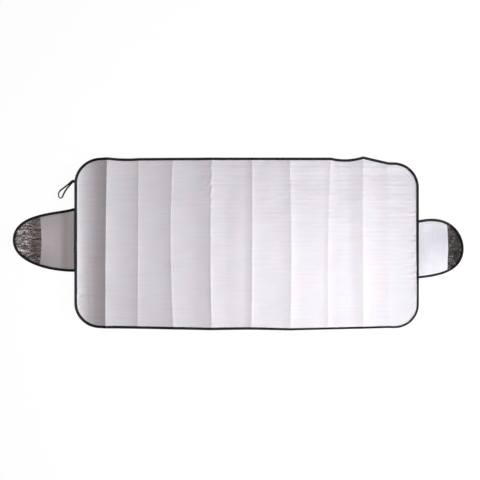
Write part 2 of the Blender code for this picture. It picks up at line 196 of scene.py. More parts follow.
# The wavy run of some creases: how far each sways, and each wave's share, length and phase
WIGGLES = (0.0, 0.0, 0.0008, 0.0016, 0.0034, 0.0006, 0.0004, 0.0, 0.0, 0.0, 0.0)
WIGGLE_WAVES = ((0.6, 0.053, 0), (0.4, 0.023, 2))
WIGGLE_LEAST = 0.35
WIGGLE_WINDOW = (0.65, 0.1)

# Short creases that run in from the side seams, with windows going up along Y and down along it
DRAWN_HEIGHT = 0.0045
DRAWN_FADE = 0.025
DRAWN_LUMPS = (0.050, 0.0095, 11.2, 2)
DRAWN_LEFT = ((-0.30, 0.04), (0.09, 0.04))
DRAWN_RIGHT = ((-0.30, 0.10), (-0.20, 0.06))
DRAWN_RIGHT_SHARE = 0.6

# A crumpled place beside a fold
CRUMPLE_AT = (-0.165, 0.225)
CRUMPLE_REACH = (0.020, 0.050)
CRUMPLE_HEIGHT = 0.0016
CRUMPLE_LUMPS = (0.011, 0.022, 12.7, 2)

# The foil's crinkles. Each layer has its share of the height, its lengths as shares of the size, what it adds
# to the seed, and how sharp its ridges are.
CRINKLE_HEIGHT = 0.0042
DEEPEST_DENT = 0.0010
CRINKLE_SIZE = (0.060, 0.020)
CRINKLE_LAYERS = ((0.60, 1.0, 1.0, 0, 2), (0.28, 0.5, 0.5, 5, 2), (0.12, 0.25, 0.3, 7, 1))
CALM_SHARE = 0.30
CALM_FADE = 0.07
PAST_MOUTH_WINDOW = (0.004, 0.02)

# The flaps' film layer
FILM_LIFT = 0.0008
STREAK_HEIGHT = 0.00016
STREAK_SIZE = (0.011, 0.16)
RIPPLE_HEIGHT = 0.0003
RIPPLE_SIZE = (0.05, 0.03)
ROOT_FADE = 0.03
POCKET_CROWN = 1.5
FLAP_FREE_WINDOW = (TAPE_REACH - 0.002, 0.010)
FLAP_ROOT_FADE = 0.01

# Mesh fineness: how many points or rows, and how much closer they come at the folds, corners and tips
END_PANEL_CROWDING = 1.6
PANEL_CROWDING = 0.11
TIP_CROWDING = 1.5
CORNER_POINTS = 40
LONG_EDGE_POINTS = 300
FLAP_EDGE_POINTS = 60
FLAP_TIP_POINTS = 80
CURVE_POINTS = 1200
PANEL_COLUMNS = 26
END_PANEL_COLUMNS = 34
SHEET_ROWS = 234
COARSER_BELOW = (2, 3)
FLAP_STEP = 0.0020
FLAP_ROWS = 120
TAPE_STEP = 0.004

# The tape is narrower by this share at the lower right, with windows along X and down along Y
NARROWEST = 0.20
NARROW_RIGHT = (-0.10, 0.45)
NARROW_LOW = (-0.06, 0.30)
TAPE_WOBBLE = 0.0005
TAPE_WOBBLE_LENGTH = 0.035

# Stitches along the tape
STITCH_INSIDE = 0.0085
STITCH_PITCH = 0.0040
STITCH_LENGTH = 0.0029
STITCH_RADIUS = 0.00019
STITCH_SIDES = 6
STITCH_PROFILE = ((0.0, 0.35), (0.14, 0.95), (0.5, 1.0), (0.86, 0.95), (1.0, 0.35))
STEPS_A_STITCH = 4
GROOVE = 0.00022
UPPER_STITCH_DROP = 0.6 * GROOVE
BAR_TACK_STITCHES = 7
BAR_TACK_SPAN = (0.0032, 0.0066)
BAR_TACK_LIFT = 0.0001

# The camera looks straight down from CAMERA_HEIGHT and frames this width of the floor
CAMERA_HEIGHT = 4.0
VIEW_WIDTH = 1.955
VIEW_OFFSET = (-0.0272, 0.0144)
SENSOR_WIDTH = 36.0


def between(start, end, share):
    return start + (end - start) * share


def eased(share):
    share = np.clip(share, 0.0, 1.0)
    return share * share * (3 - 2 * share)


def rise(value, start, length):
    """A smooth change from 0 to 1 that begins at start."""
    return eased((value - start) / length)


ENDS = np.cumsum([0] + [panel.share for panel in PANELS])
FOLDS = SHEET_WIDTH * (ENDS / ENDS[-1] - 0.5)
LOW_HEIGHTS = np.array([crease.low_height for crease in CREASES])
HIGH_HEIGHTS = np.array([crease.high_height for crease in CREASES])
WANDERS = np.array([crease.wander for crease in CREASES])
SAGS = np.array([panel.sag for panel in PANELS])


def field(x, y, size_x, size_y, seed, octaves):
    """Smooth noise from -1 to 1 at each point, with lumps about size_x by size_y."""
    flat = zip(np.ravel(x) / size_x, np.ravel(y) / size_y)
    values = [noise.fractal(Vector((a, b, seed)), *LUMP_FRACTAL, octaves) for a, b in flat]
    return np.array(values).reshape(np.shape(x))


def folds_at(y):
    """X of every fold at each y, as the creases wander: one row of values for each fold."""
    up = np.clip(np.asarray(y) / SHEET_HEIGHT + 0.5, 0.0, 1.0)
    a_row_each = (-1,) + (1,) * np.ndim(up)
    low, middle, high = (WANDERS[:, i].reshape(a_row_each) for i in range(3))
    bend = low * (1 - up) * (1 - 2 * up) + 4 * middle * up * (1 - up) + high * up * (2 * up - 1)
    wave = sum(share * np.sin(2 * math.pi * y / length + phase) for share, length, phase in WIGGLE_WAVES)
    wave = wave * between(WIGGLE_LEAST, 1.0, rise(up, *WIGGLE_WINDOW))
    return FOLDS.reshape(a_row_each) + bend + np.array(WIGGLES).reshape(a_row_each) * wave


def panel_at(x, y):
    """The number of the panel at each point, the share of its width to the left, and its width."""
    folds = folds_at(y)
    number = np.clip((x > folds).sum(axis=0) - 1, 0, len(PANELS) - 1)
    left = np.take_along_axis(folds, number[None], axis=0)[0]
    right = np.take_along_axis(folds, number[None] + 1, axis=0)[0]
    return number, np.clip((x - left) / (right - left), 0.0, 1.0), right - left


def sheet_under(x, y):
    """Height of the main sheet's lower face, without its small forms."""
    x, y = np.asarray(x, float), np.asarray(y, float)
    number, share, _ = panel_at(x, y)
    up = y / SHEET_HEIGHT + 0.5
    start = between(LOW_HEIGHTS[number], HIGH_HEIGHTS[number], up)
    end = between(LOW_HEIGHTS[number + 1], HIGH_HEIGHTS[number + 1], up)
    hung = between(start, end, share) - 4 * SAGS[number] * share * (1 - share)
    soft = FOLD_ROUNDING
    folds = 0.5 * (hung + np.sqrt(hung**2 + soft**2)) - 0.5 * soft * np.exp(-((hung / soft) ** 2))
    inside = SHEET_HEIGHT / 2 - abs(y)
    return folds + TAPE_OUTSIDE * (1 - rise(inside, *RIM_WINDOW))


def edge_out(x, low):
    """How far the low or the high long edge stands out past its straight line."""
    number = np.clip(np.searchsorted(FOLDS, x) - 1, 0, len(PANELS) - 1)
    share = (x - FOLDS[number]) / (FOLDS[number + 1] - FOLDS[number])
    values = np.array([crease.low_edge if low else crease.high_edge for crease in CREASES])
    dips = np.array([0.0 if low else panel.high_dip for panel in PANELS])
    return between(values[number], values[number + 1], share) - 4 * dips[number] * share * (1 - share)


def corner_drop(x):
    into = np.clip(abs(x) - (SHEET_WIDTH / 2 - CORNER_RADIUS), 0, CORNER_RADIUS)
    return CORNER_RADIUS - np.sqrt(CORNER_RADIUS**2 - into**2)


def low_edge(x):
    return corner_drop(x) - SHEET_HEIGHT / 2 - edge_out(x, True)


def high_edge(x):
    return SHEET_HEIGHT / 2 + edge_out(x, False) - corner_drop(x)


def inside_edge(x, y):
    """How far each point lies inside the sheet's outline."""
    across = abs(x) - (SHEET_WIDTH / 2 - CORNER_RADIUS)
    top = y - (SHEET_HEIGHT / 2 + edge_out(x, False) - CORNER_RADIUS)
    bottom = -y - (SHEET_HEIGHT / 2 + edge_out(x, True) - CORNER_RADIUS)
    up = np.maximum(top, bottom)
    out = np.hypot(np.maximum(across, 0), np.maximum(up, 0)) + np.minimum(np.maximum(across, up), 0)
    return CORNER_RADIUS - out


def small_forms(x, y):
    """Nips along the folds, ribs, wrinkles, and the puckers and creases that the seams draw into the film."""
    number, share, width = panel_at(x, y)
    inside = inside_edge(x, y)
    at_side = SHEET_WIDTH / 2 - abs(x)
    from_fold = np.minimum(share, 1 - share) * width
    nearest = np.where(share < 0.5, number, number + 1)
    nip = sum(
        form.height * np.array(form.shares)[nearest] * np.exp(-from_fold / form.width)
        * (form.steady + form.varied * field(x, y, *form.lumps))
        for form in NIPS
    )
    # the two outer edges of the sheet aren't folds
    nip = nip * eased(at_side / NIP_SIDE_FADE)
    rib = RIB_HEIGHT * np.sin(2 * math.pi * (y + RIB_BEND * field(x, y, *RIB_LUMPS)) / RIB_PITCH)
    wrinkle = WRINKLE_HEIGHT * field(x, y, *WRINKLE_LUMPS)
    along = np.where(at_side < inside * NEARER_SIDE, y, x)
    pucker = PUCKER_HEIGHT * field(along, inside, *PUCKER_LUMPS)
    pucker = pucker * np.exp(-np.maximum(inside - TAPE_REACH, 0) / PUCKER_FADE)
    cross = CROSS_HEIGHT * np.exp(-from_fold / CROSS_FADE) * field(x, y, *CROSS_LUMPS)
    left, right = (rise(y, *low) * rise(-y, *high) for low, high in (DRAWN_LEFT, DRAWN_RIGHT))
    drawn = DRAWN_HEIGHT * np.exp(-at_side / DRAWN_FADE) * field(x, y, *DRAWN_LUMPS)
    drawn = drawn * ((x < 0) * left + (x > 0) * DRAWN_RIGHT_SHARE * right)
    across, up = (x - CRUMPLE_AT[0]) / CRUMPLE_REACH[0], (y - CRUMPLE_AT[1]) / CRUMPLE_REACH[1]
    crumpled = CRUMPLE_HEIGHT * np.exp(-(across**2) - up**2) * field(x, y, *CRUMPLE_LUMPS)
    return rise(inside, *SEAM_WINDOW) * (nip + rib + wrinkle + pucker + cross + drawn + crumpled)


def place(x, y, z):
    """Points in the frame, from places on the sheet."""
    return np.stack([x + SHIFT_X, y + SHIFT_Y, np.broadcast_to(z, np.shape(x))], axis=-1)


def link(name, mesh, materials, smooth=True):
    for material in materials:
        mesh.materials.append(material)
    if smooth:
        mesh.shade_smooth()
    made = bpy.data.objects.new(name, mesh)
    bpy.context.scene.collection.objects.link(made)
    return made


def slab(name, top, bottom, materials, coarse=(1, 1)):
    """A thin closed sheet: the top is a full grid, the bottom may be a coarser one, and walls join them."""
    rows = top.shape[1]
    last_column, last_row = top.shape[0] - 1, rows - 1
    step_x, step_y = coarse
    low = bottom[::step_x, ::step_y]
    low_columns, low_rows = low.shape[0] - 1, low.shape[1] - 1
    base = top.shape[0] * rows

    def up(i, j):
        return i * rows + j

    def down(i, j):
        return base + i * (low_rows + 1) + j

    faces = [
        (up(i, j), up(i + 1, j), up(i + 1, j + 1), up(i, j + 1))
        for i in range(last_column)
        for j in range(last_row)
    ]
    tops = len(faces)
    faces += [
        (down(i, j), down(i, j + 1), down(i + 1, j + 1), down(i + 1, j))
        for i in range(low_columns)
        for j in range(low_rows)
    ]
    bottoms = len(faces)
    for i in range(low_columns):
        span = range(i * step_x, (i + 1) * step_x + 1)
        faces.append((down(i, 0), down(i + 1, 0), *[up(k, 0) for k in reversed(span)]))
        faces.append((down(i + 1, low_rows), down(i, low_rows), *[up(k, last_row) for k in span]))
    for j in range(low_rows):
        span = range(j * step_y, (j + 1) * step_y + 1)
        end = [up(last_column, k) for k in reversed(span)]
        faces.append((down(0, j + 1), down(0, j), *[up(0, k) for k in span]))
        faces.append((down(low_columns, j), down(low_columns, j + 1), *end))

    mesh = mesh_of(name, np.concatenate([top.reshape(-1, 3), low.reshape(-1, 3)]), faces)
    numbers = np.zeros(len(faces), np.int32)
    numbers[tops:bottoms] = 1
    numbers[bottoms:] = 2
    mesh.polygons.foreach_set("material_index", numbers)
    made = link(name, mesh, materials)
    mesh.update()
    sharp_around(mesh, numbers == 2)
    return made


def sharp_around(mesh, chosen):
    """Marks the edges where chosen faces meet the rest as sharp."""
    seen = {}
    for polygon in mesh.polygons:
        for key in polygon.edge_keys:
            seen.setdefault(key, set()).add(bool(chosen[polygon.index]))
    for edge in mesh.edges:
        edge.use_edge_sharp = len(seen.get(edge.key, ())) > 1


def end_panel_share(t):
    return (1 + END_PANEL_CROWDING) * t**2 - END_PANEL_CROWDING * t**3


def sheet_columns():
    """Each column's panel and share: close together at the folds, and closer round the corners."""
    found = []
    last = len(PANELS) - 1
    for number in range(len(PANELS)):
        count = END_PANEL_COLUMNS if number in (0, last) else PANEL_COLUMNS
        for step in range(count):
            t = step / count
            if number == 0:
                share = end_panel_share(t)
            elif number == last:
                share = 1 - end_panel_share(1 - t)
            else:
                share = t - PANEL_CROWDING * math.sin(2 * math.pi * t)
            found.append((number, share))
    found.append((last, 1.0))
    return found


def make_sheet(finishes):
    """The main sheet: pale film above, foil below, with its folds and small forms."""
    number, share = (np.array(values)[:, None] for values in zip(*sheet_columns()))
    up = np.linspace(0, 1, SHEET_ROWS + 1)[None, :]
    inset = 1 - 2 * TAPE_OUTSIDE / SHEET_WIDTH
    guess = between(FOLDS[number], FOLDS[number + 1], share) * inset
    y = between(low_edge(guess) + TAPE_OUTSIDE, high_edge(guess) - TAPE_OUTSIDE, up)
    folds = folds_at(y)
    column, row = np.indices(y.shape)
    x = between(folds[number, column, row], folds[number + 1, column, row], share) * inset
    under = sheet_under(x, y)
    small = small_forms(x, y)
    top = place(x, y, under + SHEET_THICKNESS + small)
    bottom = place(x, y, np.maximum(under + SMALL_FORMS_BELOW * small, 0.0))
    sheet = slab("film_sheet", top, bottom, finishes, COARSER_BELOW)
    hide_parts("main_sheet")
    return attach(sheet, BODY)


def resampled(points, step, closed):
    """The polyline's points again, evenly spaced about step apart."""
    line = np.vstack([points, points[:1]]) if closed else points
    lengths = travelled_along(line)
    count = max(2, round(lengths[-1] / step))
    at = np.linspace(0, lengths[-1], count + 1)
    even = np.stack([np.interp(at, lengths, line[:, axis]) for axis in range(line.shape[1])], axis=1)
    return even[:-1] if closed else even


def inward_of(line, closed):
    """Unit vectors that point inwards at each point of an outline that runs counter-clockwise."""
    if closed:
        along = np.roll(line, -1, axis=0) - np.roll(line, 1, axis=0)
    else:
        along = np.gradient(line, axis=0)
    along = unit(along)
    return np.stack([-along[:, 1], along[:, 0]], axis=1)


def sheet_outline():
    """The outline of the main sheet's binding, counter-clockwise from the low left."""
    end = SHEET_WIDTH / 2 - CORNER_RADIUS
    corner = CORNER_RADIUS * np.sin(np.linspace(0, math.pi / 2, CORNER_POINTS))
    x = np.concatenate([-end - corner[:0:-1], np.linspace(-end, end, LONG_EDGE_POINTS), end + corner[1:]])
    low = np.stack([x, low_edge(x)], axis=1)
    high = np.stack([x, high_edge(x)], axis=1)[::-1]
    return resampled(np.vstack([low, high]), TAPE_STEP, True)


# Across the tape: distance inside the outline, height as a share from the bottom face to the top one, and
# a lift added to it. The outside runs from the top wall's edge round the fold to the bottom wall's edge.
TAPE_OUTSIDE_SECTION = (
    (TAPE_REACH, 1.00, -0.00022),
    (TAPE_REACH - 0.0003, 1.00, -0.00002),
    (TAPE_REACH - 0.0013, 1.00, 0.0),
    (STITCH_INSIDE + 0.0006, 1.00, -0.4 * GROOVE),
    (STITCH_INSIDE, 1.00, -GROOVE),
    (STITCH_INSIDE - 0.0006, 1.00, -0.4 * GROOVE),
    (STITCH_INSIDE - 0.0020, 1.00, 0.00004),
    (0.0045, 1.00, 0.00008),
    (0.0018, 1.00, 0.0),
    (0.0008, 0.93, 0.0),
    (0.0002, 0.74, 0.0),
    (0.0000, 0.50, 0.0),
    (0.0002, 0.26, 0.0),
    (0.0008, 0.07, 0.0),
    (0.0018, 0.00, 0.0),
    (0.0045, 0.00, 0.0),
    (STITCH_INSIDE - 0.0006, 0.00, 0.4 * GROOVE),
    (STITCH_INSIDE, 0.00, GROOVE),
    (STITCH_INSIDE + 0.0006, 0.00, 0.4 * GROOVE),
    (TAPE_REACH - 0.0003, 0.00, 0.00002),
    (TAPE_REACH, 0.00, 0.00022),
)
TAPE_INSIDE_SECTION = (
    (TAPE_REACH, 0.00, TAPE_THICKNESS),
    (0.0018, 0.00, TAPE_THICKNESS),
    (TAPE_THICKNESS, 0.50, 0.0),
    (0.0018, 1.00, -TAPE_THICKNESS),
    (TAPE_REACH, 1.00, -TAPE_THICKNESS),
)


def narrowing(spot):
    """How wide the tape is at each point, as a share: it was sewn on narrower towards the lower right."""
    return 1 - NARROWEST * rise(spot[:, 0], *NARROW_RIGHT) * rise(-spot[:, 1], *NARROW_LOW)


def tube(count, sides, first=0, closed=False):
    """Faces between rings of points, with capped ends unless the last ring joins the first."""
    faces = []
    for i in range(count if closed else count - 1):
        near, far = first + i * sides, first + (i + 1) % count * sides
        for j in range(sides):
            k = (j + 1) % sides
            faces.append((near + j, near + k, far + k, far + j))
    if not closed:
        faces.append(tuple(range(first + sides - 1, first - 1, -1)))
        faces.append(tuple(range(first + (count - 1) * sides, first + count * sides)))
    return faces


def mesh_of(name, points, faces):
    mesh = bpy.data.meshes.new(name)
    mesh.from_pydata(points.reshape(-1, 3).tolist(), [], faces)
    return mesh


def unit(vectors):
    return vectors / np.linalg.norm(vectors, axis=1)[:, None]


def travelled_along(line):
    """How far along the line each of its points is."""
    return np.r_[0, np.cumsum(np.linalg.norm(np.diff(line, axis=0), axis=1))]


def make_tape(name, line, inward, bottom, top, closed, finish):
    """The folded tape along an outline, with a map that runs along it and across it, in metres."""
    count = len(line)
    wobble = field(np.arange(count) * TAPE_STEP, np.zeros(count), TAPE_WOBBLE_LENGTH, 1.0, count, 2)
    rings = []
    for inside, share, lift in TAPE_OUTSIDE_SECTION + TAPE_INSIDE_SECTION:
        reach = inside * narrowing(line) + TAPE_WOBBLE * wobble * (inside / TAPE_REACH) ** 2
        spot = (line + inward * reach[:, None]).T
        rings.append(place(*spot, between(bottom(*spot), top(*spot), share) + lift))
    points = np.stack(rings, axis=1)
    mesh = mesh_of(name, points, tube(count, len(rings), closed=closed))
    map_points(mesh, len(rings), count, travelled_along(points[0]), TAPE_STEP)
    tape = link(name, mesh, [finish])
    recalculated(tape)
    return tape


def map_points(mesh, sides, count, across, step):
    """A map in metres for a swept mesh: along the sweep, and round its section."""
    layer = mesh.uv_layers.new(name="along_and_across")
    around = np.append(across, across[-1] + step)
    for polygon in mesh.polygons:
        numbers = [mesh.loops[loop].vertex_index for loop in polygon.loop_indices]
        rings = [number // sides for number in numbers]
        spots = [number % sides for number in numbers]
        wraps = max(rings) - min(rings) > 1
        closes = max(spots) - min(spots) > 1 and len(numbers) == 4
        for loop, ring, spot in zip(polygon.loop_indices, rings, spots):
            ring = ring + count if wraps and ring == 0 else ring
            spot = spot + sides if closes and spot == 0 else spot
            layer.data[loop].uv = (ring * step, around[min(spot, sides)])


def recalculated(piece):
    """Faces point out of the closed mesh."""
    maker = bmesh.new()
    maker.from_mesh(piece.data)
    bmesh.ops.recalc_face_normals(maker, faces=maker.faces)
    maker.to_mesh(piece.data)
    maker.free()


def capsules(name, starts, ends, finish):
    """Many short threads in one mesh, each from its start to its end, thinner at both ends."""
    along = unit(ends - starts)
    side = unit(np.cross(along, UP))
    up = np.cross(side, along)
    points = []
    for share, wide in STITCH_PROFILE:
        centre = between(starts, ends, share)
        for angle in 2 * math.pi * np.arange(STITCH_SIDES) / STITCH_SIDES:
            points.append(centre + (side * math.cos(angle) + up * math.sin(angle)) * STITCH_RADIUS * wide)
    rings = len(STITCH_PROFILE)
    faces = []
    for thread in range(len(starts)):
        faces += tube(rings, STITCH_SIDES, thread * rings * STITCH_SIDES)
    threads = link(name, mesh_of(name, np.stack(points, axis=1), faces), [finish])
    recalculated(threads)
    return threads


def stitch_ends(line, inward, bottom, top, closed):
    """Both ends of every stitch along a tape, on its upper and its lower wall."""
    seam = line + inward * STITCH_INSIDE * narrowing(line)[:, None]
    seam = resampled(seam, STITCH_PITCH / STEPS_A_STITCH, closed)
    along = np.roll(seam, -1, axis=0) - seam
    along = along / np.maximum(np.linalg.norm(along, axis=1)[:, None], 1e-9)
    if not closed:
        kept = slice(STEPS_A_STITCH, -STEPS_A_STITCH - 1)
        seam, along = seam[kept], along[kept]
    seam, along = seam[::STEPS_A_STITCH], along[::STEPS_A_STITCH]
    half = along * STITCH_LENGTH / 2
    walls = ((top, -UPPER_STITCH_DROP), (bottom, GROOVE))
    return [
        np.vstack([place(*spot, face(*spot) + lift) for face, lift in walls])
        for spot in ((seam - half).T, (seam + half).T)
    ]


def bar_tack():
    """Both ends of the short stitches side by side that hold the loop's ends in the binding."""
    middle = (LOOP_ROUTE[0][1] + LOOP_ROUTE[-1][1]) / 2
    spread = abs(LOOP_ROUTE[0][1] - LOOP_ROUTE[-1][1]) / 2 + LOOP_DIAMETER / 2
    y = middle + np.linspace(-spread, spread, BAR_TACK_STITCHES)
    rows = [np.full_like(y, inside - SHEET_WIDTH / 2) for inside in BAR_TACK_SPAN]
    return [place(x, y, body_top(x, y) + BAR_TACK_LIFT) for x in rows]


def body_bottom(x, y):
    return sheet_under(x, y) - TAPE_OUTSIDE


def body_top(x, y):
    return sheet_under(x, y) + SHEET_THICKNESS + TAPE_OUTSIDE


def make_binding(finishes):
    """The tape round the main sheet, its seam, and the bar tack by the elastic loop."""
    line = sheet_outline()
    inward = inward_of(line, True)
    tape = make_tape("binding_tape", line, inward, body_bottom, body_top, True, finishes["tape"])
    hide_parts("edge_binding")
    starts, ends = stitch_ends(line, inward, body_bottom, body_top, True)
    more_starts, more_ends = bar_tack()
    threads = capsules("binding_stitches", np.vstack([starts, more_starts]), np.vstack([ends, more_ends]),
                       finishes["thread"])
    return [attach(tape, BODY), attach(threads, BODY)]


def flap_x(flap, out):
    return flap.side * (SHEET_WIDTH / 2 + out)


def flap_edges(flap, out):
    """Y of a flap's low and high edge this far out from the sheet: a Bezier curve each, from root to tip."""
    t = np.linspace(0, 1, CURVE_POINTS)
    weights = np.stack([(1 - t) ** 3, 3 * t * (1 - t) ** 2, 3 * t * t * (1 - t), t**3])
    found = []
    for edge in (flap.low, flap.high):
        points = ((0.0, edge.root), edge.hold, (flap.reach, flap.tip + edge.turn), (flap.reach, flap.tip))
        x, y = np.array(points).T @ weights
        found.append(np.interp(out, x, y, left=edge.root))
    return found


class FlapShape:
    """Heights of a flap's faces, as in the solids, with smooth curves between their stations."""

    def __init__(self, flap):
        self.flap = flap
        self.edge = flap_x(flap, 0.0)

    def out(self, x):
        return self.flap.side * x - SHEET_WIDTH / 2

    def ground(self, x, y):
        out = self.out(x)
        held = sheet_under(np.where(out > 0, self.edge, x), y) - TUCK_HEIGHT
        curl_from = self.flap.mouth - CURL_BEFORE_MOUTH
        curl = np.maximum(0.0, out - curl_from) / (self.flap.reach - curl_from)
        return held * (1 - eased(out / FLAP_DROP)) + self.flap.tip_rise * curl**2

    def settled(self, x, y):
        """How far the back layer has settled onto the ground between the tapes, from 0 to 1."""
        out = self.out(x)
        low, high = flap_edges(self.flap, out)
        inside = np.minimum(y - low, high - y) - TAPE_REACH - ROW_PAST_TAPE
        curl_from = self.flap.mouth - CURL_BEFORE_MOUTH
        along = rise(out, FLAP_DROP - SETTLE_ALONG, SETTLE_ALONG) * (1 - rise(out, curl_from, SETTLE_ALONG))
        return along * eased(inside / SETTLE_ACROSS)

    def back_under(self, x, y):
        return self.ground(x, y) + TAPE_OUTSIDE * (1 - self.settled(x, y))

    def back_over(self, x, y):
        return self.back_under(x, y) + SHEET_THICKNESS

    def bound_over(self, x, y):
        return self.ground(x, y) + TAPE_OUTSIDE + SHEET_THICKNESS

    def pocket_rise(self, x, y):
        """How far the film layer stands off; a taut one runs straight from the root to the mouth's rise."""
        out = np.clip(self.out(x), 0.0, self.flap.mouth)
        root = self.ground(self.edge, y)
        mouth = self.ground(flap_x(self.flap, self.flap.mouth), y) + POCKET_RISE
        straight = between(root, mouth, out / self.flap.mouth)
        here = self.ground(flap_x(self.flap, out), y)
        low, high = flap_edges(self.flap, out)
        taped = TAPE_REACH + CLEARANCE
        across = np.clip((y - low - taped) / (high - low - 2 * taped), 0.0, 1.0)
        loose = POCKET_RISE * (out / self.flap.mouth) ** 2
        stands = between(loose, np.maximum(straight - here, 0.0), self.flap.taut)
        return stands * np.sin(math.pi * across) ** POCKET_CROWN

    def front_under(self, x, y):
        return self.bound_over(x, y) + CLEARANCE + self.pocket_rise(x, y)

    def tape_top(self, x, y):
        past = np.clip((self.out(x) - self.flap.mouth - RUN_ON) / STEP_DOWN, 0.0, 1.0)
        front = (SHEET_THICKNESS + CLEARANCE) * (1 - eased(past))
        return self.bound_over(x, y) + front + TAPE_OUTSIDE

    def free(self, x, y):
        """0 under the tape and 1 well clear of it."""
        out = self.out(x)
        low, high = flap_edges(self.flap, out)
        near = np.minimum(np.minimum(y - low, high - y), self.flap.reach - out)
        return rise(near, *FLAP_FREE_WINDOW) * eased(out / FLAP_ROOT_FADE)


def flap_grid(flap, reach, bow=0.0):
    """Columns out from the root and rows across, inside the tape's fold."""
    count = round((reach + FLAP_TUCK) / FLAP_STEP)
    steps = np.linspace(0, 1, count + 1)[:, None]
    if reach > flap.mouth:
        # closer together towards the rounded tip
        steps = 1 - (1 - steps) ** TIP_CROWDING
    out = reach * steps - FLAP_TUCK * (1 - steps)
    rows = np.linspace(0, 1, FLAP_ROWS + 1)[None, :]
    low, high = flap_edges(flap, out)
    half = np.maximum((high - low) / 2 - TAPE_OUTSIDE, 0.0)
    y = (low + high) / 2 + between(-half, half, rows)
    out = out + bow * np.sin(math.pi * rows) * eased(out / flap.mouth) * (out > 0)
    return flap_x(flap, out), y


def crinkles(x, y, seed):
    """Sharp little dents of a foil that has been folded and pressed, longer along X than along Y."""
    height = 0
    for share, long, wide, step, sharp in CRINKLE_LAYERS:
        lumps = field(x, y, long * CRINKLE_SIZE[0], wide * CRINKLE_SIZE[1], seed + step, 1)
        height = height + share * (1 - np.abs(lumps)) ** sharp
    return np.maximum(CRINKLE_HEIGHT * (height - height.mean()), -DEEPEST_DENT)


def flap_outline(flap):
    """The line that a flap's tape follows, counter-clockwise, open at the root."""
    straight = np.linspace(-FLAP_TUCK, flap.mouth, FLAP_EDGE_POINTS)
    turn = np.sin(np.linspace(0, math.pi / 2, FLAP_TIP_POINTS))[1:]
    out = np.concatenate([straight, flap.mouth + (flap.reach - flap.mouth) * turn])
    low, high = (np.stack([flap_x(flap, out), edge], axis=1) for edge in flap_edges(flap, out))
    outline = np.vstack([low, high[-2::-1]]) if flap.side > 0 else np.vstack([high, low[-2::-1]])
    return resampled(outline, TAPE_STEP, False)


def make_flap(flap, finishes):
    """A flap: its foil back layer, its pale front layer, the tape round both, and the seam."""
    shape = FlapShape(flap)
    seed = FLAP_SEED + FLAP_SEED_STEP * flap.side

    x, y = flap_grid(flap, flap.reach - TAPE_OUTSIDE)
    past = shape.out(x) - flap.mouth
    dents = crinkles(x, y, seed) * shape.free(x, y) * between(CALM_SHARE, 1.0, eased(past / CALM_FADE))
    # the dents stay below the film layer
    most = shape.front_under(x, y) - CLEARANCE + CRINKLE_HEIGHT * rise(past, *PAST_MOUTH_WINDOW)
    top = np.minimum(shape.back_over(x, y) + dents, most)
    under = np.maximum(shape.back_under(x, y), 0.0)
    back = slab(flap.name + "_foil_layer", place(x, y, top), place(x, y, under), [
        finishes["foil"], finishes[flap.name], finishes["foam"]])
    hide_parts(flap.name + "_back")

    x, y = flap_grid(flap, flap.mouth, flap.mouth_bow)
    streaks = STREAK_HEIGHT * field(x, y, *STREAK_SIZE, seed + 2, 2)
    ripple = RIPPLE_HEIGHT * field(x, y, *RIPPLE_SIZE, seed + 3, 2)
    lift = shape.free(x, y) * eased(shape.out(x) / ROOT_FADE) * (FILM_LIFT + streaks + ripple)
    under = shape.front_under(x, y) + lift
    front = slab(flap.name + "_film_layer", place(x, y, under + SHEET_THICKNESS), place(x, y, under), [
        finishes[flap.name], finishes["foil"], finishes["foam"]])
    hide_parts(flap.name + "_front")

    line = flap_outline(flap)
    inward = inward_of(line, False)
    tape = make_tape(flap.name + "_tape", line, inward, shape.ground, shape.tape_top, False, finishes["tape"])
    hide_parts(flap.name + "_binding")
    starts, ends = stitch_ends(line, inward, shape.ground, shape.tape_top, False)
    threads = capsules(flap.name + "_stitches", starts, ends, finishes["thread"])
    for piece in (back, front, tape, threads):
        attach(piece, BODY)
    return back, front, tape, threads


def smooth_route(points, step):
    """Points a step apart on a Catmull-Rom curve through these points."""
    padded = np.vstack([points[:1], points, points[-1:]])
    found = []
    for i in range(1, len(padded) - 2):
        before, start, end, after = padded[i - 1 : i + 3]
        count = max(2, round(np.linalg.norm(end - start) / step))
        t = (np.arange(count) / count)[:, None]
        curve = 2 * start + (end - before) * t + (2 * before - 5 * start + 4 * end - after) * t**2
        found.append(0.5 * (curve + (3 * start - before - 3 * end + after) * t**3))
    found.append(points[-1:])
    return resampled(np.vstack(found), step, False)


def loop_line():
    """The points that the loop follows, in the frame, from inside the binding and back into it."""
    exit_height = LEFT_EDGE_HEIGHT + SHEET_THICKNESS / 2
    edge = -SHEET_WIDTH / 2
    route = [(edge - out, y, between(LOOP_DIAMETER / 2, exit_height, share)) for out, y, share in LOOP_ROUTE]
    route = np.array(route) + np.array([SHIFT_X, SHIFT_Y, 0.0])
    inside = [LOOP_INTO_TAPE, 0, 0]
    return smooth_route(np.vstack([route[:1] + inside, route, route[-1:] + inside]), LOOP_RING_STEP)


